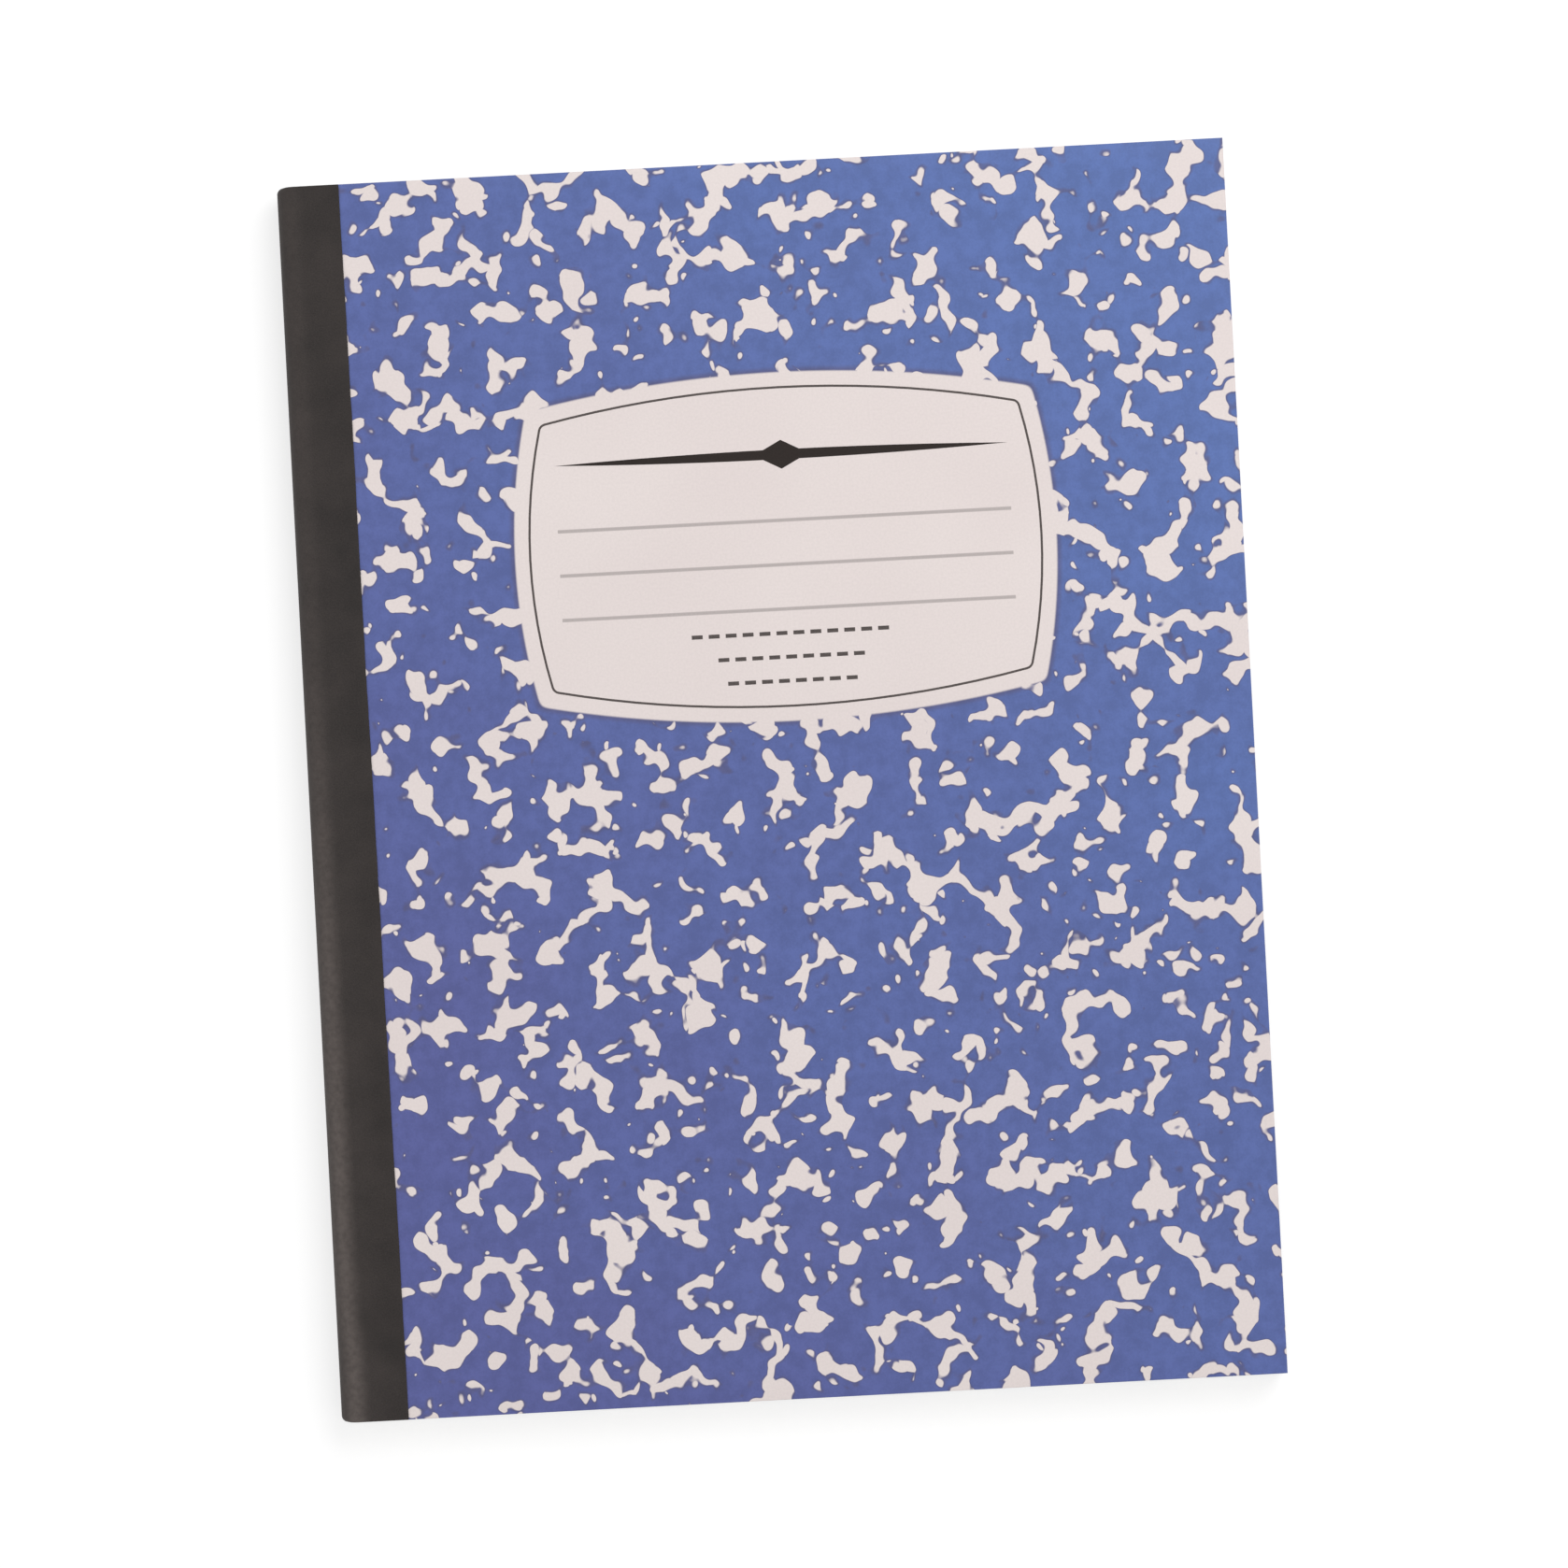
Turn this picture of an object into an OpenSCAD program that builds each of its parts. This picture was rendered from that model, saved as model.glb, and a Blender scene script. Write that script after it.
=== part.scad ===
// Composition notebook: folded leaves sewn through the fold, two printed cover
// boards and a strip of binding tape that wraps the spine. It lies on its back
// cover, head towards +Y and spine towards -X. Millimetres.

/* [Notebook] */
// Width from the back of the spine to the fore edge
book_w = 190; // [150:1:215]
// Height from tail to head
book_h = 248; // [200:1:297]

/* [Pages] */
// Leaves in the block; a folded sheet gives two
leaf_count = 100; // [80:2:120]
// Thickness of one leaf as it lies pressed in the block
leaf_t = 0.08; // [0.07:0.005:0.1]

/* [Covers] */
// Thickness of each cover board
cover_t = 1; // [0.6:0.1:1.6]
// Thickness that the printed ink and its lamination are drawn with
print_t = 0.06; // [0.04:0.01:0.12]
// Air between a closed cover and the page under it
cover_gap = 0.05; // [0.02:0.01:0.2]

/* [Spine] */
// Radius that the pressed spine rolls over with, at the front and at the back
shoulder_r = 3.6; // [2.5:0.1:4.2]
// Length over which the leaves slope from the swollen fold down to the boards
shoulder_run = 1.2; // [0.8:0.1:2.5]
// Thickness of the binding tape
tape_t = 0.2; // [0.12:0.02:0.4]
// Reach of the tape from the back of the spine, at the head
tape_w_head = 12.6; // [8:0.1:20]
// Reach of the tape from the back of the spine, at the tail
tape_w_tail = 13.6; // [8:0.1:20]
// Slit between the parts of the tape where a cover hinges
tape_slit = 0.05; // [0.02:0.01:0.2]

/* [Sewing] */
// Diameter of the sewing thread
thread_d = 0.5; // [0.3:0.05:0.7]
// Distance between needle holes
stitch_pitch = 8; // [5:0.5:15]
// Bare fold between the last hole and the head or tail, at least
stitch_margin = 7; // [4:0.5:20]
// Depth of the innermost fold behind the outermost one
fold_depth = 4.6; // [4:0.1:6]
// Room around the thread in the paper
thread_room = 0.05; // [0.02:0.01:0.1]

/* [Label] */
// Centre of the label from the back of the spine
label_from_spine = 98.3; // [80:0.1:115]
// Centre of the label from the head
label_from_head = 77.2; // [60:0.1:120]
// Width of the label's frame line across its middle
label_w = 102.6; // [80:0.1:115]
// Height of the label's frame line at its middle
label_h = 63.9; // [50:0.1:80]
// How far the frame's sides bow out
side_bow = 3.1; // [2:0.1:6]
// How far the frame's top and bottom bow out
end_bow = 5; // [3:0.1:9]
// Corner radius of the frame
frame_corner_r = 1.5; // [0.5:0.1:4]
// Width of the frame line
frame_line_w = 0.45; // [0.3:0.05:1]
// Bare margin outside the frame line
label_margin = 3; // [2:0.1:5]

/* [Label print] */
// Length of the writing rules
rule_len = 91; // [60:1:95]
// Width of a writing rule
rule_w = 0.25; // [0.15:0.05:0.8]
// Distance between writing rules
rule_pitch = 8.9; // [7:0.1:10]
// Writing rules
rule_count = 3; // [1:1:3]
// First rule above the label's centre
rules_up = 5.3; // [2:0.1:8]
// Ornament above the label's centre
ornament_up = 18.5; // [15:0.5:20]
// Thickness of the ornament's swelled rule at its middle
swell_w = 2; // [1:0.1:3]
// Height of the lozenge in the ornament
lozenge_h = 5.8; // [4:0.1:7]
// Length of the lozenge in the ornament
lozenge_len = 11; // [6:0.5:16]
// Dashes in the top row under the rules
top_dash_count = 12; // [4:1:20]
// Dashes in the middle row
middle_dash_count = 9; // [4:1:20]
// Dashes in the bottom row
bottom_dash_count = 8; // [4:1:20]
// Length of a dash
dash_len = 2.2; // [1:0.1:2.8]
// Width of a dash
dash_w = 0.8; // [0.4:0.1:1.2]
// Distance between dashes
dash_pitch = 3.4; // [3:0.1:4]
// Distance between rows of dashes
dash_row_pitch = 4.8; // [3:0.1:5.2]

/* [Marbling] */
// Size of the cell that holds one splash
cell = 18; // [14:0.5:30]
// Area of an average splash, as a share of its cell
splash_share = 0.3; // [0.15:0.01:0.4]
// Share of a cell that a splash may wander off its centre
wander = 0.7; // [0:0.05:0.8]
// Any number; another one lays out another marbling
marble_seed = 11; // [1:1:99]

/* [Hidden] */
$fn = 64;

board_colour = [0.90, 0.86, 0.84];
ink_colour = [0.38, 0.43, 0.65];
label_ink_colour = [0.30, 0.28, 0.27];
tape_colour = [0.22, 0.21, 0.20];
page_colour = [0.95, 0.94, 0.91];
thread_colour = [0.92, 0.90, 0.85];

// Levels, from the surface that the book lies on
block_t = leaf_count * leaf_t;
skin_t = tape_t + print_t;                      // tape and print outside a board
board_z = skin_t;                               // outer face of the back board
block_z = board_z + cover_t + cover_gap;        // lowest page
book_t = 2 * block_z + block_t;

// Places across the book, from its middle
spine_x = -book_w / 2;
fore_x = book_w / 2;
hinge_x = spine_x + shoulder_r;                 // line that the covers turn about
board_x = hinge_x + shoulder_run + cover_gap;   // spine edge of the boards
label_x = spine_x + label_from_spine;
label_y = book_h / 2 - label_from_head;
dash_rows = [top_dash_count, middle_dash_count, bottom_dash_count];

// Upright section in X and Z, run along the whole height of the book
module along_book() {
    rotate([90, 0, 0]) linear_extrude(height = book_h, center = true) children();
}

// Turns what is drawn for the front cover over, onto the back
module at_back() {
    translate([0, 0, book_t]) mirror([0, 0, 1]) children();
}

// PAGES

// Rounded back of the spine, up to the hinge line, with every face moved in by inset
module spine_section(inset) {
    intersection() {
        union() {
            for (z = [shoulder_r, book_t - shoulder_r])
                translate([hinge_x, z]) circle(r = shoulder_r - inset);
            translate([spine_x + inset, shoulder_r])
                square([shoulder_r - inset, book_t - 2 * shoulder_r]);
        }
        translate([spine_x, 0]) square([shoulder_r, book_t]);
    }
}

// Leaves beyond the fold: they slope down to make room for the boards, then lie flat
module leaves_section() {
    polygon([[hinge_x, tape_t], [hinge_x + shoulder_run, block_z],
             [fore_x, block_z], [fore_x, block_z + block_t],
             [hinge_x + shoulder_run, block_z + block_t], [hinge_x, book_t - tape_t]]);
}

// Sewing: needle holes at an even pitch, centred on the height
outer_run_x = spine_x + tape_t + thread_d / 2;
inner_run_x = spine_x + tape_t + fold_depth;
lock_x = (outer_run_x + inner_run_x) / 2;       // where the two threads meet
stitches = floor((book_h - 2 * stitch_margin) / stitch_pitch);
leg_d = 0.8 * thread_d;                         // a strand pulled tight in its hole

module thread_run(x, d) {
    translate([x, 0, book_t / 2]) rotate([90, 0, 0])
        cylinder(d = d, h = stitches * stitch_pitch + d, center = true);
}

module thread_legs(from_x, to_x, d) {
    for (i = [0 : stitches])
        translate([from_x, (i - stitches / 2) * stitch_pitch, book_t / 2])
            rotate([0, 90, 0]) cylinder(d = d, h = to_x - from_x);
}

module page_block() {
    color(page_colour) difference() {
        along_book() {
            spine_section(tape_t);
            leaves_section();
        }
        for (x = [outer_run_x, inner_run_x]) thread_run(x, thread_d + 2 * thread_room);
        thread_legs(outer_run_x, inner_run_x, leg_d + 2 * thread_room);
    }
}

module needle_thread() {
    color(thread_colour) {
        thread_run(outer_run_x, thread_d);
        thread_legs(outer_run_x, lock_x, leg_d);
    }
}

module bobbin_thread() {
    color(thread_colour) {
        thread_run(inner_run_x, thread_d);
        thread_legs(lock_x, inner_run_x, leg_d);
    }
}

// COVERS

// Sheet of one thickness over the area of a cover board, its lower face at z
module cover_sheet(z, t) {
    translate([board_x, -book_h / 2, z]) cube([fore_x - board_x, book_h, t]);
}

module front_cover() {
    color(board_colour) cover_sheet(book_t - board_z - cover_t, cover_t);
}

module back_cover() {
    color(board_colour) at_back() cover_sheet(book_t - board_z - cover_t, cover_t);
}

// LABEL

// Points along an arc about a centre, from one angle to another
function arc(centre, r, from, to, steps) =
    [for (i = [0 : steps]) centre + r * [cos(from + (to - from) * i / steps),
                                         sin(from + (to - from) * i / steps)]];

// Four bowed sides that meet in corners, grown outwards by grow with round corners.
// half is half the width and half the height between the sharp corners.
function bowed_outline(half, grow) =
    let (side_r = (half.y ^ 2 + side_bow ^ 2) / (2 * side_bow),
         end_r = (half.x ^ 2 + end_bow ^ 2) / (2 * end_bow),
         side_a = asin(half.y / side_r),
         end_a = asin(half.x / end_r))
    [for (turn = [0, 180])
        let (way = turn == 0 ? 1 : -1)
        each concat(
            arc([way * (half.x + side_bow - side_r), 0], side_r + grow,
                turn - side_a, turn + side_a, 12),
            arc(way * half, grow, turn + side_a, turn + 90 - end_a, 4),
            arc([0, way * (half.y + end_bow - end_r)], end_r + grow,
                turn + 90 - end_a, turn + 90 + end_a, 18),
            arc(way * [-half.x, half.y], grow, turn + 90 + end_a, turn + 180 - side_a, 4))];

// Outline of the label that lies margin outside the frame line's centre
module label_outline(margin) {
    polygon(bowed_outline([label_w / 2 - side_bow - frame_corner_r,
                           label_h / 2 - end_bow - frame_corner_r],
                          frame_corner_r + margin));
}

// Rule that swells from its points to its middle, between two arcs
module swelled_rule(length, thickness) {
    r = (length ^ 2 + thickness ^ 2) / (4 * thickness);
    a = asin(length / 2 / r);
    polygon([for (way = [1, -1], i = [1 : 12])
        let (t = way * (a - i * a / 6))
        [r * sin(t), way * (r * cos(t) + thickness / 2 - r)]]);
}

module lozenge(length, height) {
    polygon([[-length / 2, 0], [0, -height / 2], [length / 2, 0], [0, height / 2]]);
}

module dash_row(count) {
    for (i = [0 : count - 1])
        translate([(i - (count - 1) / 2) * dash_pitch - dash_len / 2, -dash_w / 2])
            square([dash_len, dash_w]);
}

// Frame line, ornament, writing rules and rows of dashes, in dark ink on the bare board
module label_print() {
    last_rule_y = rules_up - (rule_count - 1) * rule_pitch;
    color(label_ink_colour) translate([label_x, label_y, book_t - board_z])
        linear_extrude(height = print_t) {
            difference() {
                label_outline(frame_line_w / 2);
                label_outline(-frame_line_w / 2);
            }
            translate([0, ornament_up]) {
                swelled_rule(rule_len, swell_w);
                lozenge(lozenge_len, lozenge_h);
            }
            for (i = [0 : rule_count - 1])
                translate([-rule_len / 2, rules_up - i * rule_pitch - rule_w / 2])
                    square([rule_len, rule_w]);
            for (i = [0 : len(dash_rows) - 1])
                translate([0, last_rule_y - (i + 1) * dash_row_pitch])
                    dash_row(dash_rows[i]);
        }
}

// MARBLING

// One pass of corner cutting: each side keeps its middle half
function rounded(p) =
    [for (i = [0 : len(p) - 1])
        let (q = p[(i + 1) % len(p)])
        each [0.75 * p[i] + 0.25 * q, 0.25 * p[i] + 0.75 * q]];

// A splash: arms with blunt tips round a centre, a notch between each two of them,
// drawn out along one direction. key picks its random numbers.
function splash(key, area, arms) =
    let (reach = rands(0.9, 1.9, arms, key),
         girth = rands(0.18, 0.42, arms, key + 0.2),
         notch = rands(0.4, 0.75, arms, key + 0.4),
         shape = rands(0, 1, 3, key + 0.6),
         lean = 180 * shape[0],
         stretch = 1 + 0.5 * shape[1],
         size = sqrt(area / PI / 0.92),
         step = 360 / arms)
    rounded([for (i = [0 : arms - 1])
        let (a = (i + 0.4 * shape[2]) * step,
             b = a + step / 2)
        for (p = [reach[i] * [cos(a), sin(a)] - girth[i] * [-sin(a), cos(a)],
                  reach[i] * [cos(a), sin(a)] + girth[i] * [-sin(a), cos(a)],
                  notch[i] * [cos(b), sin(b)]])
        let (u = size * p.x * stretch,
             v = size * p.y / stretch)
        [u * cos(lean) - v * sin(lean), u * sin(lean) + v * cos(lean)]]);

// Splashes in the cells of a grid over the cover, each a little off its cell's middle
module marbling(seed) {
    columns = ceil((fore_x - hinge_x) / cell);
    rows = ceil(book_h / cell);
    for (i = [0 : columns - 1], j = [0 : rows - 1]) {
        key = seed + i + j * columns;
        off = rands(-wander / 2, wander / 2, 2, key + 0.8);
        share = rands(0.3, 1.7, 1, key + 0.9)[0];
        translate([fore_x - (i + 0.25 + (j % 2) / 2 + off.x) * cell,
                   book_h / 2 - (j + 0.5 + off.y) * cell])
            polygon(splash(key, share * splash_share * cell ^ 2, 2 + key % 3));
    }
}

// Ink over a whole cover, with the bare board showing in the splashes and in the label
module cover_ink(seed) {
    translate([0, 0, book_t - board_z]) linear_extrude(height = print_t) difference() {
        translate([board_x, -book_h / 2]) square([fore_x - board_x, book_h]);
        marbling(seed);
        children();
    }
}

module front_print() {
    color(ink_colour) cover_ink(marble_seed)
        translate([label_x, label_y]) label_outline(label_margin);
}

module back_print() {
    color(ink_colour) at_back() cover_ink(100 * marble_seed);
}

// TAPE

// Flat part of the tape, glued over the printed board, a touch wider at the tail
module front_leaf() {
    translate([0, 0, book_t - tape_t]) linear_extrude(height = tape_t)
        polygon([[hinge_x + tape_slit, -book_h / 2], [spine_x + tape_w_tail, -book_h / 2],
                 [spine_x + tape_w_head, book_h / 2], [hinge_x + tape_slit, book_h / 2]]);
}

module tape_front_leaf() {
    color(tape_colour) front_leaf();
}

module tape_back_leaf() {
    color(tape_colour) at_back() front_leaf();
}

module tape_spine() {
    color(tape_colour) along_book() difference() {
        spine_section(0);
        spine_section(tape_t);
    }
}

front_cover();
front_print();
label_print();
back_cover();
back_print();
tape_front_leaf();
tape_spine();
tape_back_leaf();
page_block();
needle_thread();
bobbin_thread();
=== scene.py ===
import math
import bpy
import numpy as np
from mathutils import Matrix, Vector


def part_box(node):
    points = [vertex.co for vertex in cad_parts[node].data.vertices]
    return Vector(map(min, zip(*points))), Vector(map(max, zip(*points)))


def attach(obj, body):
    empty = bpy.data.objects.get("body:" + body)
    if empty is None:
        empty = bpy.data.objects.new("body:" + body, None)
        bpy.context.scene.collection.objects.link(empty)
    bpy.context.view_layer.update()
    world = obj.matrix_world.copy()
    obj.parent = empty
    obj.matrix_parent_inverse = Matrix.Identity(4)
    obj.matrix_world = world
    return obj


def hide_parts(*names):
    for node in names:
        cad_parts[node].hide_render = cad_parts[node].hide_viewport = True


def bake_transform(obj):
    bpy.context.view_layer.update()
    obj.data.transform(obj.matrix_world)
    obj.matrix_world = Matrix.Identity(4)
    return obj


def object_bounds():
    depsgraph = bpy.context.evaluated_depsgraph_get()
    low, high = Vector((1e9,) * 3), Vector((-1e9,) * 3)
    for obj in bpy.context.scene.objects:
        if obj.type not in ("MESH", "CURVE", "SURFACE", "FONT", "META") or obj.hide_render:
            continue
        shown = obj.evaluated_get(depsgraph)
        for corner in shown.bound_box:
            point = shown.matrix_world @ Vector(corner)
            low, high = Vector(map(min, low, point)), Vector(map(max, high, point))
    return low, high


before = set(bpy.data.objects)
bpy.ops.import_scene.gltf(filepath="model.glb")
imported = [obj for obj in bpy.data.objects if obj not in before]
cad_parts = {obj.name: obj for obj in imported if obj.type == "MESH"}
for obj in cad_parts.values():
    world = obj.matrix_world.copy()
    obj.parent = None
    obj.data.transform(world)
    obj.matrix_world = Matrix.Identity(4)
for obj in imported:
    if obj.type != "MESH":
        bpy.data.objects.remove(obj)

cad_low, cad_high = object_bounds()


# CAMERA
# Hangs straight over the closed book with a long lens. It is turned a little against the
# book, so the book leans three degrees to the left in the picture.

mm = 0.001
book_t = cad_high[2]
picture_px = 1678
px_per_mm = 5.34
book_centre_px = (836.6, 835.2)
lean = math.radians(3.03)

lens = bpy.data.cameras.new("overhead_camera")
lens.lens = 180
lens.sensor_width = 36
seen = picture_px / px_per_mm * mm
height = seen * lens.lens / lens.sensor_width
off_x = (picture_px / 2 - book_centre_px[0]) / px_per_mm * mm
off_y = (book_centre_px[1] - picture_px / 2) / px_per_mm * mm
camera = bpy.data.objects.new("overhead_camera", lens)
camera.rotation_euler = (0, 0, -lean)
camera.location = (off_x * math.cos(lean) + off_y * math.sin(lean),
                   -off_x * math.sin(lean) + off_y * math.cos(lean),
                   book_t + height)
lens.clip_start, lens.clip_end = 0.1, 20
bpy.context.scene.collection.objects.link(camera)
bpy.context.scene.camera = camera


# FRONT COVER
# A sheet of pressboard with square corners. Its printed paper carries the blue marbling and
# the bare field of the label; its edges and its inner face show the plain board.

front_low, front_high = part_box("front_cover")
print_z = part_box("front_print")[1][2]
ink_sunk = 0.01 * mm          # how far the printed face lies under the label's ink
edge_r = 0.18 * mm            # round-over of the boards' edges
lines_across, lines_along = 46, 60
crowd_count = 7
sharp_angle = math.radians(50)


def lines(low, high, count, r):
    """Grid lines from low to high: count evenly spaced, and a few more that crowd into each
    end, at r times one minus the cosine of even steps of a quarter turn."""
    crowd = r * (1 - np.cos(np.linspace(0, math.pi / 2, crowd_count)))
    return np.concatenate([low + crowd, np.linspace(low, high, count + 2)[1:-1],
                           high - crowd[::-1]])


def round_over(value, low, high, r):
    """How far a face drops near its ends: r minus the height of a circle of radius r there."""
    d = np.minimum(value - low, high - value)
    return r - np.sqrt(np.maximum(r ** 2 - np.maximum(r - d, 0) ** 2, 0))


def shut_grid(top, bottom):
    """One closed skin from two grids of points with the same outline: the top one faces up,
    the bottom one down, and a band of quads joins their borders."""
    nx, ny = top.shape[:2]
    i, j = np.meshgrid(np.arange(nx - 1), np.arange(ny - 1), indexing="ij")
    a = (i * ny + j).ravel()
    up = np.stack([a, a + ny, a + ny + 1, a + 1], axis=1)
    down = up[:, ::-1] + nx * ny
    rim = np.concatenate([np.arange(nx) * ny, (nx - 1) * ny + np.arange(1, ny),
                          np.arange(nx - 2, -1, -1) * ny + ny - 1,
                          np.arange(ny - 2, 0, -1)])
    after = np.roll(rim, -1)
    band = np.stack([rim, rim + nx * ny, after + nx * ny, after], axis=1)
    return (np.concatenate([top.reshape(-1, 3), bottom.reshape(-1, 3)]),
            np.concatenate([up, down, band]), len(up))


def make_piece(name, points, quads, smooth=True):
    """A new object whose mesh has these points and quads, placed where they are."""
    mesh = bpy.data.meshes.new(name)
    mesh.from_pydata(points.tolist(), [], quads.tolist())
    mesh.polygons.foreach_set("use_smooth", np.full(len(quads), smooth))
    if smooth:
        mesh.set_sharp_from_angle(angle=sharp_angle)
    mesh.validate()
    mesh.update()
    piece = bpy.data.objects.new(name, mesh)
    bpy.context.scene.collection.objects.link(piece)
    return piece


def board(name, low, high, printed_up):
    """A board: two faces over one grid of lines, each dropping to the sides by the round-over,
    with the printed face's quads given the first material and all others the second."""
    x = lines(low[0], high[0], lines_across, edge_r)
    y = lines(low[1], high[1], lines_along, edge_r)
    gx, gy = np.meshgrid(x, y, indexing="ij")
    drop = np.minimum(round_over(gx, low[0], high[0], edge_r)
                      + round_over(gy, low[1], high[1], edge_r), edge_r)
    top = np.stack([gx, gy, high[2] - drop], axis=2)
    bottom = np.stack([gx, gy, low[2] + drop], axis=2)
    points, quads, count = shut_grid(top, bottom)
    piece = make_piece(name, points, quads)
    index = np.ones(len(quads), np.int32)
    index[:count] = 0 if printed_up else 1
    index[count:2 * count] = 1 if printed_up else 0
    piece.data.polygons.foreach_set("material_index", index)
    return piece


def node_adder(tree):
    """A function that adds a node to the tree and gives back its outputs. It takes the node's
    type, its inputs by place or name, and its properties."""
    def add(kind, inputs=(), **properties):
        made = tree.nodes.new("ShaderNode" + kind)
        for key, value in properties.items():
            setattr(made, key, value)
        pairs = inputs.items() if isinstance(inputs, dict) else enumerate(inputs)
        for key, value in pairs:
            if isinstance(value, bpy.types.NodeSocket):
                tree.links.new(value, made.inputs[key])
            elif value is not None:
                made.inputs[key].default_value = value
        return made.outputs

    return add


def new_material(name, roughness, specular):
    """A material with one Principled shader, a function that adds nodes to its tree, and one
    that wires node outputs to the shader's inputs, named with _ for a space."""
    material = bpy.data.materials.new(name)
    material.use_nodes = True
    tree = material.node_tree
    shader = tree.nodes["Principled BSDF"]
    shader.inputs["Roughness"].default_value = roughness
    shader.inputs["Specular IOR Level"].default_value = specular

    def wire(**sources):
        for socket, source in sources.items():
            tree.links.new(source, shader.inputs[socket.replace("_", " ")])

    return material, node_adder(tree), wire


def figure(add, operation, *values):
    """The result of one Math node."""
    return add("Math", values, operation=operation)[0]


def mapped(add, value, low, high, to_low, to_high, smooth=False):
    """value carried from the span low to high onto the span to_low to to_high and held at
    its ends, in a straight line or, if smooth, eased in and out."""
    return add("MapRange", {"Value": value, "From Min": low, "From Max": high,
                            "To Min": to_low, "To Max": to_high},
               interpolation_type="SMOOTHSTEP" if smooth else "LINEAR")[0]


def relief(add, height, strength, depth):
    """The surface's direction once bumps of this height, times depth in metres, are on it."""
    return add("Bump", {"Height": height, "Strength": strength, "Distance": depth})[0]


def srgb(red, green, blue):
    """A colour as seen on a screen, 0 to 255, turned into the light that a shader counts in:
    c / 12.92 near black, and ((c + 0.055) / 1.055) to the power 2.4 beyond."""
    c = np.array([red, green, blue]) / 255
    return (*np.where(c <= 0.04045, c / 12.92, ((c + 0.055) / 1.055) ** 2.4), 1)


def blend_colours(add, share, first, second):
    """A mix of two colours by share."""
    return add("Mix", {"Factor": share, "A": first, "B": second}, data_type="RGBA")["Result"]


def object_mm(add, shift=(0, 0, 0)):
    """Object coordinates in millimetres, moved by shift."""
    return add("VectorMath", (add("TexCoord")["Object"], (1 / mm,) * 3, shift),
               operation="MULTIPLY_ADD")[0]


def noise(add, where, size, detail=0, output=0, dimensions="2D", rough=0.5):
    """Soft noise whose lumps are about size millimetres apart."""
    return add("TexNoise", {"Vector": where, "Scale": 1 / size, "Detail": detail,
                            "Roughness": rough}, noise_dimensions=dimensions)[output]


def warped(add, where, amount, size, detail=0):
    """Places pushed aside by up to half of amount millimetres, by coloured noise."""
    push = noise(add, where, size, detail, output=1)
    push = add("VectorMath", (push, (0.5, 0.5, 0.5)), operation="SUBTRACT")[0]
    push = add("VectorMath", {0: push, "Scale": amount}, operation="SCALE")[0]
    return add("VectorMath", (where, push), operation="ADD")[0]


splash_cell, dot_cell = 9.3, 5      # mm between the cells of the splashes and of the dots
tip_floor = 0.11
girth_size, girth_detail, no_girth, girth_gain = 7.2, 1.1, 0.487, 3
full_girth, held_back = 0.16, 0.75
dotless, dot_gain = 0.8, 0.75       # a cell whose lot is under the first has no dot


def cell_pattern(add, where, size, feature="F1"):
    """A flat pattern of random cells, size millimetres wide."""
    return add("TexVoronoi", {"Vector": where, "Scale": 1 / size}, voronoi_dimensions="2D",
               feature=feature)


def marbling(add, where):
    """Above zero in the bare splashes and dots, under zero in the ink. A splash is where a
    slow noise, the girth, outgrows the distance to the edges of warped cells, so it branches
    where edges meet. The floor under that distance rounds its tips: the root of the sum of
    both squares. Beyond full_girth the girth counts a quarter. A dot's radius is its cell's
    lot less dotless, times dot_gain."""
    cells = cell_pattern(add, warped(add, where, 10.6, 5.6, 0.9), splash_cell,
                         "DISTANCE_TO_EDGE")["Distance"]
    ridge = figure(add, "SQRT", figure(add, "MULTIPLY_ADD", cells, cells, tip_floor ** 2))
    girth = noise(add, where, girth_size, girth_detail)
    girth = figure(add, "MULTIPLY", figure(add, "SUBTRACT", girth, no_girth), girth_gain)
    over = figure(add, "MAXIMUM", figure(add, "SUBTRACT", girth, full_girth), 0)
    girth = figure(add, "MULTIPLY_ADD", over, -held_back, girth)
    splash = figure(add, "SUBTRACT", girth, ridge)
    apart = add("VectorMath", (warped(add, where, 2, 3), (31, 77, 0)), operation="ADD")[0]
    dots = cell_pattern(add, apart, dot_cell)
    lot = add("SeparateColor", [dots["Color"]])[0]
    radius = figure(add, "MULTIPLY", figure(add, "SUBTRACT", lot, dotless), dot_gain)
    return figure(add, "MAXIMUM", splash, figure(add, "SUBTRACT", radius, dots["Distance"]))


# Painted shade and light in the ink: the tail colour is darker and more purple, the head colour
# lighter and bluer.
shaded_tail_ink, lit_head_ink, rim_ink = srgb(89, 95, 152), srgb(89, 112, 172), srgb(88, 88, 126)
dark_paper, light_paper = srgb(224, 212, 210), srgb(233, 223, 220)
cloud_size, mottle_size, grain_size, swell_size = 46, 6, 0.5, 14
light_turn_across, light_turn_up, turn_middle, turn_cloud = 0.0037, 0.0026, 0.45, 0.4
rim_reach, edge_blur = 0.11, 0.02     # in the marbling's own measure


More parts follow.
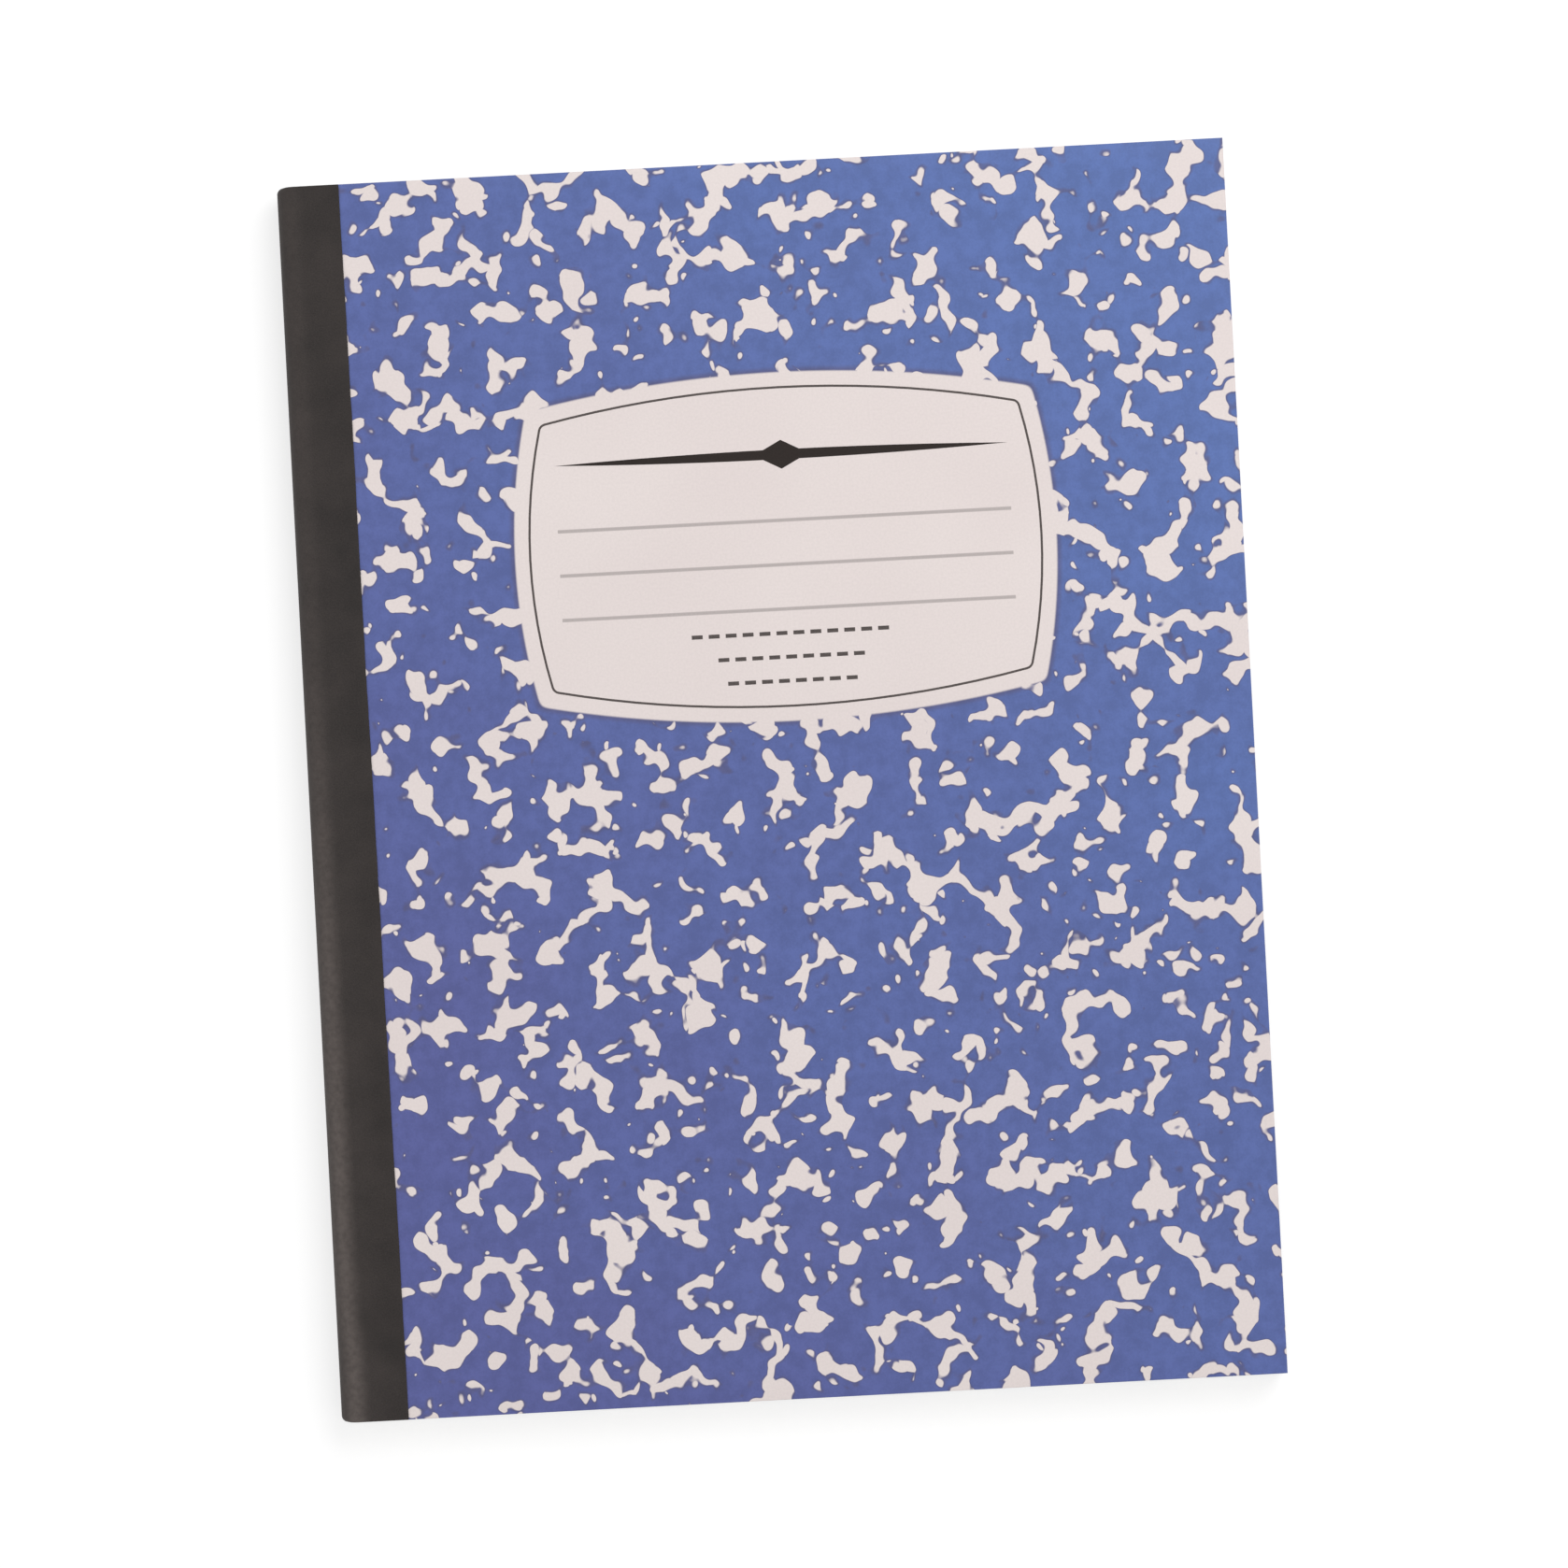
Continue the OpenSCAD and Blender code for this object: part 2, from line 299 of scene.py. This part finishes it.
def printed_paper(name, shift, bare_field=None, tint=None):
    """Off-white paper under blue ink. The ink is darker in a rim beside a splash and mottled,
    and carries painted light and shade: it turns from a darker purple blue at the tail and
    spine to a lighter clear blue at the head and fore edge, as clear grows with x, y and a slow
    noise of real tone. bare_field(add) gives a value above zero where a field is kept free of
    ink, and tint(add, colour) prints more over it all."""
    material, add, wire = new_material(name, 0.42, 0.25)
    where = object_mm(add, shift)
    bare = marbling(add, where)
    if bare_field:
        bare = figure(add, "MAXIMUM", bare, bare_field(add))
    cloudy = noise(add, where, cloud_size, 2)
    mottle = noise(add, where, mottle_size, 2, rough=0.9)
    grain = noise(add, where, grain_size, 2)

    # Painted light and shade: the ink grows lighter towards the head and fore edge along x and
    # y, and a slow noise adds real tone.
    at = add("SeparateXYZ", [object_mm(add)])
    clear = figure(add, "MULTIPLY_ADD", at[0], light_turn_across, turn_middle)
    clear = figure(add, "MULTIPLY_ADD", at[1], light_turn_up, clear)
    clear = figure(add, "MULTIPLY_ADD", cloudy, turn_cloud,
                   figure(add, "SUBTRACT", clear, turn_cloud / 2))
    ink = blend_colours(add, add("Clamp", [clear])[0], shaded_tail_ink, lit_head_ink)
    rim = mapped(add, bare, -rim_reach, -0.01, 0, 0.8, smooth=True)
    ink = blend_colours(add, rim, ink, rim_ink)
    shade = figure(add, "MULTIPLY_ADD", grain, 0.45, mottle)
    shade = mapped(add, shade, 0.53, 0.93, 0.9, 1.09)
    ink = add("HueSaturation", {"Color": ink, "Value": shade})[0]

    fleck = mapped(add, grain, 0.3, 0.7, 0.975, 1.02)
    paper = blend_colours(add, cloudy, dark_paper, light_paper)
    paper = add("HueSaturation", {"Color": paper, "Value": fleck})[0]
    shows = mapped(add, bare, -edge_blur, edge_blur, 0, 1, smooth=True)
    colour = blend_colours(add, shows, ink, paper)
    wire(Base_Color=tint(add, colour) if tint else colour,
         Roughness=mapped(add, mottle, 0, 1, 0.36, 0.5),
         Normal=relief(add, noise(add, where, swell_size), 0.25, 0.12 * mm))
    return material


def plain_board(name):
    """Bare pressboard: warm off-white with grey fibres and a fine felted relief."""
    material, add, wire = new_material(name, 0.8, 0.2)
    fibre = noise(add, object_mm(add), 0.6, 4, dimensions="3D", rough=0.7)
    wire(Base_Color=blend_colours(add, fibre, srgb(206, 199, 188), srgb(236, 231, 222)),
         Normal=relief(add, fibre, 0.4, 0.03 * mm))
    return material


# The label's field: four arcs, grown by a margin round the frame line that the label's ink
# draws. Each arc bows out between the frame's corners.
frame_low, frame_high = np.array(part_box("label_print"))
label_x, label_y = ((frame_low[:2] + frame_high[:2]) / 2 / mm).tolist()
half_w, half_h = ((frame_high[:2] - frame_low[:2]) / 2 / mm).tolist()
side_bow, end_bow, margin = 3.1, 5.0, 2.8
corner_soft, field_slope = 2.0, 0.08


def label_field(add):
    """Above zero inside the label: minus the larger of the distances, with signs, to a side
    arc and to an end arc, softened where they meet so that the corners are round. An arc over
    a half chord c with a bow b has the radius (c^2 + b^2) / 2b."""
    corner_w, corner_h = half_w - side_bow, half_h - end_bow
    side_r = (corner_h ** 2 + side_bow ** 2) / (2 * side_bow)
    end_r = (corner_w ** 2 + end_bow ** 2) / (2 * end_bow)
    at = add("SeparateXYZ", [object_mm(add, (-label_x, -label_y, 0))])
    across, up = figure(add, "ABSOLUTE", at[0]), figure(add, "ABSOLUTE", at[1])
    across_2 = figure(add, "POWER", figure(add, "SUBTRACT", across, half_w - side_r), 2)
    up_2 = figure(add, "POWER", figure(add, "SUBTRACT", up, half_h - end_r), 2)
    side = figure(add, "SQRT", figure(add, "MULTIPLY_ADD", up, up, across_2))
    end = figure(add, "SQRT", figure(add, "MULTIPLY_ADD", across, across, up_2))
    side = figure(add, "SUBTRACT", side, side_r + margin)
    end = figure(add, "SUBTRACT", end, end_r + margin)
    outside = figure(add, "SMOOTH_MAX", side, end, corner_soft)
    return figure(add, "MULTIPLY", outside, -field_slope)


# The three writing rules are printed in a light grey, wider than the line of their solid.
middle_rule_up, rule_pitch, rule_half = -3.6, 8.9, 45.5
rule_grey = srgb(186, 177, 175)


def grey_rules(add, colour):
    """The colour with three grey rules over it: the distance to the nearest one is the lesser
    of up and |up - pitch|, where up is the distance from the middle one."""
    at = add("SeparateXYZ", [object_mm(add, (-label_x, -label_y - middle_rule_up, 0))])
    up = figure(add, "ABSOLUTE", at[1])
    outer = figure(add, "ABSOLUTE", figure(add, "SUBTRACT", up, rule_pitch))
    line = mapped(add, figure(add, "MINIMUM", up, outer), 0.28, 0.42, 1, 0)
    line = figure(add, "MULTIPLY", line, figure(add, "COMPARE", at[0], 0, rule_half))
    return blend_colours(add, line, colour, rule_grey)


front_board = board("front_board", front_low,
                    (front_high[0], front_high[1], print_z - ink_sunk), True)
bare_board = plain_board("bare_pressboard")
front_board.data.materials.append(
    printed_paper("front_marbled_paper", (213, 157, 0), label_field, grey_rules))
front_board.data.materials.append(bare_board)
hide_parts("front_cover", "front_print")
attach(front_board, "front_cover_body")


# LABEL PRINT
# Dark ink on the bare field: the thin frame line, three writing rules, a swelled rule with a
# lozenge, and rows of dashes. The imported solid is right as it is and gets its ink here: full
# black on the swelled rule, light grey on the writing rules, a thinner black on the rest.

swelled_rule_up, swelled_rule_reach = 18.5, 4
rows_half = 46.5


def rows(add, at, up, reach):
    """One inside the label's rows that lie up to reach from the height up, and zero outside."""
    return figure(add, "MULTIPLY", figure(add, "COMPARE", at[1], label_y + up, reach),
                  figure(add, "COMPARE", at[0], label_x, rows_half))


def label_ink():
    """Black ink in three strengths, each a little uneven."""
    material, add, wire = new_material("label_black_ink", 0.45, 0.15)
    where = object_mm(add)
    at = add("SeparateXYZ", [where])
    cover = noise(add, where, 0.4, 3, dimensions="3D")
    thin = blend_colours(add, cover, srgb(66, 60, 58), srgb(99, 91, 89))
    full = blend_colours(add, cover, srgb(33, 26, 23), srgb(46, 38, 35))
    grey = blend_colours(add, cover, srgb(172, 163, 161), srgb(196, 187, 185))
    ruled = rows(add, at, middle_rule_up, rule_pitch + 1)
    swelled = rows(add, at, swelled_rule_up, swelled_rule_reach)
    colour = blend_colours(add, ruled, thin, grey)
    wire(Base_Color=blend_colours(add, swelled, colour, full))
    return material


def dress(node, material):
    """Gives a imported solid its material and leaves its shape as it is."""
    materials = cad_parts[node].data.materials
    materials.clear()
    materials.append(material)


dress("label_print", label_ink())


# BACK COVER
# The same board and the same marbling with no label on it, printed face down.

back_low, back_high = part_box("back_cover")
under_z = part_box("back_print")[0][2]
back_board = board("back_board", (back_low[0], back_low[1], under_z), back_high, False)
back_board.data.materials.append(printed_paper("back_marbled_paper", (641, 385, 0)))
back_board.data.materials.append(bare_board)
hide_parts("back_cover", "back_print")
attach(back_board, "back_cover_body")


# BINDING TAPE
# One strip of black coated book tape, glued round the swollen fold and out over both printed
# covers. The eye sees one strip; here its two halves meet halfway up the spine. It was cut by
# hand, a touch wider at the tail.

spine_low, spine_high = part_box("tape_spine")
leaf_low, leaf_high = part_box("tape_front_leaf")
tape_t = leaf_high[2] - leaf_low[2]
spine_x, hinge_x = spine_low[0], spine_high[0]
shoulder_r = hinge_x - spine_x
tape_reach_head, tape_reach_tail = 12.6 * mm, 13.6 * mm
corner_r = 1.3 * mm           # of the worn corners of the fold, seen from above
tip_r = 0.07 * mm             # of the tape's cut edge
mid_z = book_t / 2
head_y, tail_y = spine_high[1], spine_low[1]
cut_depth, nick_count = 0.04 * mm, 26
chance = np.random.default_rng(8)


def hand_cut(y):
    """A slightly ragged edge along y: slow waves of random phase, and short nicks and frays,
    each a bell, e to the minus square of the distance from its middle over its width."""
    edge = np.zeros_like(y)
    for length, share in ((90, 0.9), (31, 0.5), (11, 0.28), (4.3, 0.18), (1.7, 0.14)):
        phase = chance.uniform(0, 2 * math.pi)
        edge += share * np.sin(2 * math.pi * y / (length * mm) + phase)
    at = chance.uniform(y.min(), y.max(), nick_count)
    size = chance.uniform(-1.6, 1.4, nick_count)
    width = chance.uniform(0.25, 0.9, nick_count) * mm
    nicks = size[:, None] * np.exp(-((y[None, :] - at[:, None]) / width[:, None]) ** 2)
    return cut_depth * (edge + nicks.sum(axis=0))


def worn_corner(y):
    """How far the fold draws in near the head and tail: corner_r minus the height of a
    circle of that radius."""
    d = np.minimum(y - tail_y, head_y - y)
    return corner_r - np.sqrt(corner_r ** 2 - np.clip(corner_r - d, 0, corner_r) ** 2)


def tape_half(name, up):
    """Half of the tape: a section carried along the book. The section runs from halfway up the
    spine, straight, round a quarter circle and flat out to the cut edge, where it rounds over;
    the inner face follows it one tape's thickness inside. The lower half is its mirror."""
    y = np.concatenate([np.linspace(tail_y, tail_y + corner_r, 9)[:-1],
                        np.linspace(tail_y + corner_r, head_y - corner_r, 360),
                        np.linspace(head_y - corner_r, head_y, 9)[1:]])
    share = (head_y - y) / (head_y - tail_y)
    edge_x = spine_x + tape_reach_head + share * (tape_reach_tail - tape_reach_head)
    edge_x = edge_x + hand_cut(y)
    flat_z = book_t - shoulder_r
    turn = math.pi * np.concatenate([np.linspace(1, 0.575, 13),
                                     np.linspace(0.575, 0.5, 11)[1:]])
    rise = np.linspace(mid_z, flat_z, 5)[:-1]
    run = np.concatenate([np.linspace(0, 0.1, 12)[1:], np.linspace(0.1, 0.26, 8)[1:],
                          np.linspace(0.26, 1, 26)[1:-1]])

    def face(inset):
        r = shoulder_r - inset
        x = np.concatenate([np.full(len(rise), spine_x + inset), hinge_x + r * np.cos(turn)])
        z = np.concatenate([rise, flat_z + r * np.sin(turn)])
        gx = np.repeat(x[:, None], len(y), axis=1)
        gz = np.repeat(z[:, None], len(y), axis=1)
        out = hinge_x + run[:, None] * (edge_x - hinge_x)[None, :]
        gx = np.concatenate([gx, out])
        gz = np.concatenate([gz, np.full_like(out, book_t - inset)])
        for a in np.linspace(0, math.pi / 2, 5)[1:]:
            gx = np.concatenate([gx, (edge_x - tip_r + tip_r * math.sin(a))[None, :]])
            low = tip_r * (1 - math.cos(a)) if inset == 0 else 0
            gz = np.concatenate([gz, np.full((1, len(y)), book_t - inset - low)])
        gx = gx + worn_corner(y)[None, :] * np.clip((hinge_x - gx) / shoulder_r, 0, 1)
        gy = np.repeat(y[None, :], len(gx), axis=0)
        return np.stack([gx, gy, gz if up else book_t - gz], axis=2)

    outer, inner = face(0.0), face(tape_t)
    if not up:
        outer, inner = outer[::-1], inner[::-1]
    points, quads, _ = shut_grid(outer, inner)
    return make_piece(name, points, quads)


tape_dark, tape_pale = srgb(25, 21, 20), srgb(58, 52, 50)
# A painted highlight grey for the lit shoulder, a painted shade black for the crease, and the
# grey of real dust specks.
shoulder_highlight_grey, painted_crease_shade, dust_grey = srgb(113, 104, 100), srgb(20, 18, 17), srgb(120, 114, 108)
highlight_width, crease_shade_line = 2.3, -98.3     # mm; the painted highlight's width, and x from the spine plus y, which is -98.3 on the crease where its shade is painted


def bell(add, value, steepness):
    """e to the minus steepness times the square of value."""
    square = figure(add, "POWER", value, 2)
    return figure(add, "EXPONENT", figure(add, "MULTIPLY", square, -steepness))


def coated_tape():
    """Black coated cloth paper: a fine grain, pale dust specks, a painted highlight on the
    shoulder that gets paler and wider towards the tail, and a soft slanting band of painted
    shade there. The highlight and the shade are bells about their middle lines, and a speck is
    a cell whose lot is above 0.9."""
    material, add, wire = new_material("black_book_tape", 0.62, 0.24)
    where = object_mm(add)
    at = add("SeparateXYZ", [object_mm(add, (-spine_x / mm, 0, 0))])
    grain = noise(add, where, 0.32, 3, dimensions="3D", rough=0.6)
    cloudy = noise(add, where, 9, 3, dimensions="3D")
    shade = figure(add, "MULTIPLY_ADD", grain, 0.9, -0.5)
    shade = add("Clamp", [figure(add, "MULTIPLY_ADD", cloudy, 1.1, shade)])[0]
    colour = blend_colours(add, shade, tape_dark, tape_pale)

    # Painted highlight: a paler band along the rounded shoulder where it faces the light, wider
    # and stronger towards the tail, made patchy by noise.
    middle = mapped(add, at[1], -94, -112, 2.2, 3)
    aside = figure(add, "DIVIDE", figure(add, "SUBTRACT", at[0], middle), highlight_width)
    band = figure(add, "MAXIMUM", bell(add, aside, 1), mapped(add, at[0], 2, 11, 0.22, 0))
    highlight_strength = mapped(add, at[1], 60, -70, 0.13, 0.55, smooth=True)
    patchy = mapped(add, noise(add, where, 1.1, 3, dimensions="3D"), -0.3, 0.65, 0, 1)
    painted_highlight = figure(add, "MULTIPLY", figure(add, "MULTIPLY", band, highlight_strength), patchy)
    colour = blend_colours(add, painted_highlight, colour, shoulder_highlight_grey)

    # Painted shade: a soft dark band along a slanting crease near the tail.
    slant = figure(add, "ADD", figure(add, "ADD", at[0], at[1]), -crease_shade_line)
    fade = mapped(add, at[0], 2, 6, 0, 0.3, smooth=True)
    crease_shade = figure(add, "MULTIPLY", bell(add, slant, 1 / 14), fade)
    colour = blend_colours(add, crease_shade, colour, painted_crease_shade)

    dust = add("TexVoronoi", {"Vector": where, "Scale": 1 / 1.6}, voronoi_dimensions="3D")
    lot = add("SeparateColor", [dust["Color"]])[0]
    size = figure(add, "MULTIPLY", figure(add, "SUBTRACT", lot, 0.9), 0.9)
    speck = figure(add, "MULTIPLY", figure(add, "SUBTRACT", size, dust["Distance"]), 9)
    speck = figure(add, "MULTIPLY", add("Clamp", [speck])[0], 0.4)
    height = figure(add, "MULTIPLY_ADD", cloudy, 2.5, grain)
    wire(Base_Color=blend_colours(add, speck, colour, dust_grey),
         Roughness=mapped(add, cloudy, 0, 1, 0.55, 0.72),
         Normal=relief(add, height, 0.6, 0.04 * mm))
    return material


tape_black = coated_tape()
for side, up in (("front", True), ("back", False)):
    tape = tape_half("binding_tape_" + side, up)
    tape.data.materials.append(tape_black)
    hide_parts("tape_" + side + "_leaf", "tape_spine")
    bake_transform(tape)


# LEAVES
# Fifty sheets of writing paper, each folded once and put inside the next, sewn through the
# fold and then trimmed together. The sheets fan out where the fold swells.

fore_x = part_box("page_block")[1][0]
sheets = 50
cover_gap = 0.05 * mm         # between the leaves and the boards
block_half = front_low[2] - cover_gap - mid_z
swell_half = mid_z - tape_t
slope_run = front_low[0] - hinge_x - cover_gap
paper_t = 0.066 * mm
fold_gap, fold_step = 0.07 * mm, 0.0925 * mm      # from the tape, and from sheet to sheet
fold_run, fold_power = 0.665, 2.5     # the fold's length as a share of its half height
trim_slack = 0.03             # mm


def folded_sheet(k):
    """Sheet k of the nest, 0 outermost: a section from the back fore edge round the fold to the
    front one, carried along the book. The fold is half a superellipse of power fold_power;
    beyond it the distance from the middle eases from its share of the swell to its share of
    the block, by t t (3 - 2 t)."""
    inward = (k + 0.5) / sheets
    fold_x = spine_x + tape_t + fold_gap + k * fold_step
    round_run = fold_run * swell_half * (1 - inward) + 0.02 * mm
    round_x = fold_x + round_run

    def half_at(x):
        t = np.clip((x - hinge_x) / slope_run, 0, 1)
        half = swell_half + (block_half - swell_half) * t * t * (3 - 2 * t)
        return half * (1 - inward)

    turn = np.linspace(0, math.pi / 2, 11)
    h = half_at(np.array([round_x]))[0]
    fold = np.stack([round_x - round_run * np.cos(turn) ** (2 / fold_power),
                     h * np.sin(turn) ** (2 / fold_power)], axis=1)
    start = max(round_x, hinge_x)
    side_x = np.concatenate([np.linspace(start, start + slope_run, 9)[1:],
                             np.linspace(fore_x * 0.2, fore_x, 6)])
    side_x[-1] -= chance.uniform(0, trim_slack) * mm
    side = np.stack([side_x, half_at(side_x)], axis=1)
    upper = np.concatenate([fold, side])
    lower = upper[:0:-1] * (1, -1)
    path = np.concatenate([lower, upper])
    along = np.gradient(path, axis=0)
    along /= np.linalg.norm(along, axis=1, keepdims=True)
    normal = np.stack([-along[:, 1], along[:, 0]], axis=1)
    trim = chance.uniform(0, trim_slack, 2) * mm
    round_y = np.linspace(0, 1, 6) ** 1.5 * corner_r
    y = np.concatenate([tail_y + trim[0] + round_y, head_y - trim[1] - round_y[::-1]])
    pull = worn_corner(y)

    def face(off):
        moved = path + normal * off
        x = np.repeat(moved[:, :1], len(y), axis=1)
        x = x + pull[None, :] * np.clip((hinge_x - x) / shoulder_r, 0, 1)
        z = np.repeat(moved[:, 1:], len(y), axis=1) + mid_z
        return np.stack([x, np.repeat(y[None, :], len(path), axis=0), z], axis=2)

    return shut_grid(face(paper_t / 2), face(-paper_t / 2))


bare_head, ruling, margin_in = 30, 7.1, 32        # mm


def writing_paper():
    """Off-white paper ruled in pale blue under a bare head, with a red margin line that lies
    margin_in from the spine on the front half and from the fore edge on the back half. A blue
    rule shows where below / ruling is near a whole number."""
    material, add, wire = new_material("ruled_writing_paper", 0.85, 0.2)
    where = object_mm(add)
    at = add("SeparateXYZ", [where])
    fibre = noise(add, where, 0.8, 4, dimensions="3D", rough=0.6)
    cloudy = noise(add, where, 25, 2, dimensions="3D")
    shade = figure(add, "MULTIPLY_ADD", fibre, 0.5, figure(add, "MULTIPLY", cloudy, 0.5))
    colour = blend_colours(add, shade, srgb(238, 236, 229), srgb(249, 247, 242))

    below = figure(add, "SUBTRACT", head_y / mm - bare_head, at[1])
    step = figure(add, "DIVIDE", below, ruling)
    off = figure(add, "ABSOLUTE", figure(add, "SUBTRACT", step, figure(add, "ROUND", step)))
    rule = figure(add, "MULTIPLY", mapped(add, off, 0.017, 0.026, 1, 0),
                  figure(add, "GREATER_THAN", below, -1))
    colour = blend_colours(add, figure(add, "MULTIPLY", rule, 0.8), colour,
                           srgb(150, 182, 214))

    front = figure(add, "GREATER_THAN", at[2], mid_z / mm)
    spread = (fore_x - spine_x) / mm - 2 * margin_in
    line_x = figure(add, "MULTIPLY_ADD", front, -spread, fore_x / mm - margin_in)
    gap = figure(add, "ABSOLUTE", figure(add, "SUBTRACT", at[0], line_x))
    wire(Base_Color=blend_colours(add, mapped(add, gap, 0.15, 0.22, 0.85, 0), colour,
                                  srgb(222, 122, 134)),
         Normal=relief(add, fibre, 0.3, 0.02 * mm))
    return material


def cut_edges():
    """The trimmed edges of the leaves: bare paper with painted light and shade, paler and
    darker streaks along the leaves for some that stand a little proud of others."""
    material, add, wire = new_material("trimmed_paper_edges", 0.9, 0.15)
    # Painted light and shade: paler and darker streaks along the leaves.
    streak = add("VectorMath", (object_mm(add), (0.03, 0.03, 4)), operation="MULTIPLY")[0]
    streak = noise(add, streak, 1, 3, dimensions="3D", rough=0.6)
    wire(Base_Color=blend_colours(add, streak, srgb(228, 224, 214), srgb(250, 248, 243)))
    return material


all_points, all_quads, is_edge, used = [], [], [], 0
for k in range(sheets):
    points, quads, count = folded_sheet(k)
    all_points.append(points)
    all_quads.append(quads + used)
    is_edge.append(np.arange(len(quads)) >= 2 * count)
    used += len(points)
leaves = make_piece("leaves", np.concatenate(all_points), np.concatenate(all_quads), False)
leaves.data.polygons.foreach_set("material_index", np.concatenate(is_edge).astype(np.int32))
leaves.data.materials.append(writing_paper())
leaves.data.materials.append(cut_edges())
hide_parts("page_block")
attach(leaves, "book_block")


# SEWING THREADS
# Two cotton threads, one along the outside of the fold and one along the inside, which lock
# in each needle hole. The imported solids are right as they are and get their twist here.


def cotton():
    """Off-white sewing cotton with the slanting bands of its twist."""
    material, add, wire = new_material("sewing_cotton", 0.9, 0.15)
    ply = add("TexWave", {"Vector": object_mm(add), "Scale": 0.45, "Distortion": 0.6},
              wave_type="BANDS", bands_direction="DIAGONAL")["Fac"]
    wire(Base_Color=blend_colours(add, ply, srgb(205, 200, 188), srgb(242, 239, 230)),
         Normal=relief(add, ply, 0.5, 0.08 * mm))
    return material


thread = cotton()
dress("needle_thread", thread)
dress("bobbin_thread", thread)


# TABLE AND LIGHT
# A plain white table top that keeps a soft shadow, an even white room and two broad lamps:
# one high over the head and fore edge, one beside the spine. The top lies as deep as the
# back cover reaches when it is swung right out.

table_half, table_z = 4.0, -1.4 * mm
sky_strength, backdrop_strength = 0.57, 1.0
table_glow, table_seen, table_bounce = 0.64, 0.46, 0.86


def straight_rays(add):
    """One for the rays that show the table and the room as a plain white: the larger of the
    three flags for camera, glossy and transmission rays."""
    path = add("LightPath")
    near = figure(add, "MAXIMUM", path["Is Camera Ray"], path["Is Glossy Ray"])
    return figure(add, "MAXIMUM", near, path["Is Transmission Ray"])


def grey(level):
    """A grey of this level, with its alpha."""
    return (level, level, level, 1)


top = bpy.data.meshes.new("table_top")
top.from_pydata([(-table_half, -table_half, table_z), (table_half, -table_half, table_z),
                 (table_half, table_half, table_z), (-table_half, table_half, table_z)],
                [], [(0, 1, 2, 3)])
table = bpy.data.objects.new("table_top", top)
bpy.context.scene.collection.objects.link(table)
white, add, _ = new_material("white_table", 0.9, 0.0)
nodes = white.node_tree.nodes
nodes["Principled BSDF"].inputs["Base Color"].default_value = grey(table_bounce)
glow = add("Emission", {"Color": grey(1), "Strength": table_glow})[0]
shown = add("AddShader", [glow, add("BsdfDiffuse", {"Color": grey(table_seen)})[0]])[0]
shown = add("MixShader", [straight_rays(add), nodes["Principled BSDF"].outputs[0], shown])[0]
white.node_tree.links.new(shown, nodes["Material Output"].inputs["Surface"])
top.materials.append(white)

room = bpy.data.worlds.new("white_room")
room.use_nodes = True
bpy.context.scene.world = room
add = node_adder(room.node_tree)
sky = room.node_tree.nodes["Background"]
sky.inputs["Color"].default_value = grey(1)
sky.inputs["Strength"].default_value = sky_strength
backdrop = add("Background", {"Color": grey(1), "Strength": backdrop_strength})[0]
choice = add("MixShader", [straight_rays(add), sky.outputs[0], backdrop])[0]
room.node_tree.links.new(choice, room.node_tree.nodes["World Output"].inputs["Surface"])

for name, place, size, power in (("high_lamp", (0.36, 0.48, 0.85), 0.8, 5.0),
                                 ("spine_lamp", (-1.1, -0.5, 0.65), 0.9, 2.9)):
    lamp = bpy.data.lights.new(name, "AREA")
    lamp.shape = "DISK"
    lamp.size, lamp.energy = size, power
    holder = bpy.data.objects.new(name, lamp)
    holder.location = place
    aim = -np.array(place) / np.linalg.norm(place)
    holder.rotation_euler = (math.acos(-aim[2]), 0, math.atan2(-aim[0], aim[1]))
    bpy.context.scene.collection.objects.link(holder)

bpy.context.scene.view_settings.view_transform = "Standard"
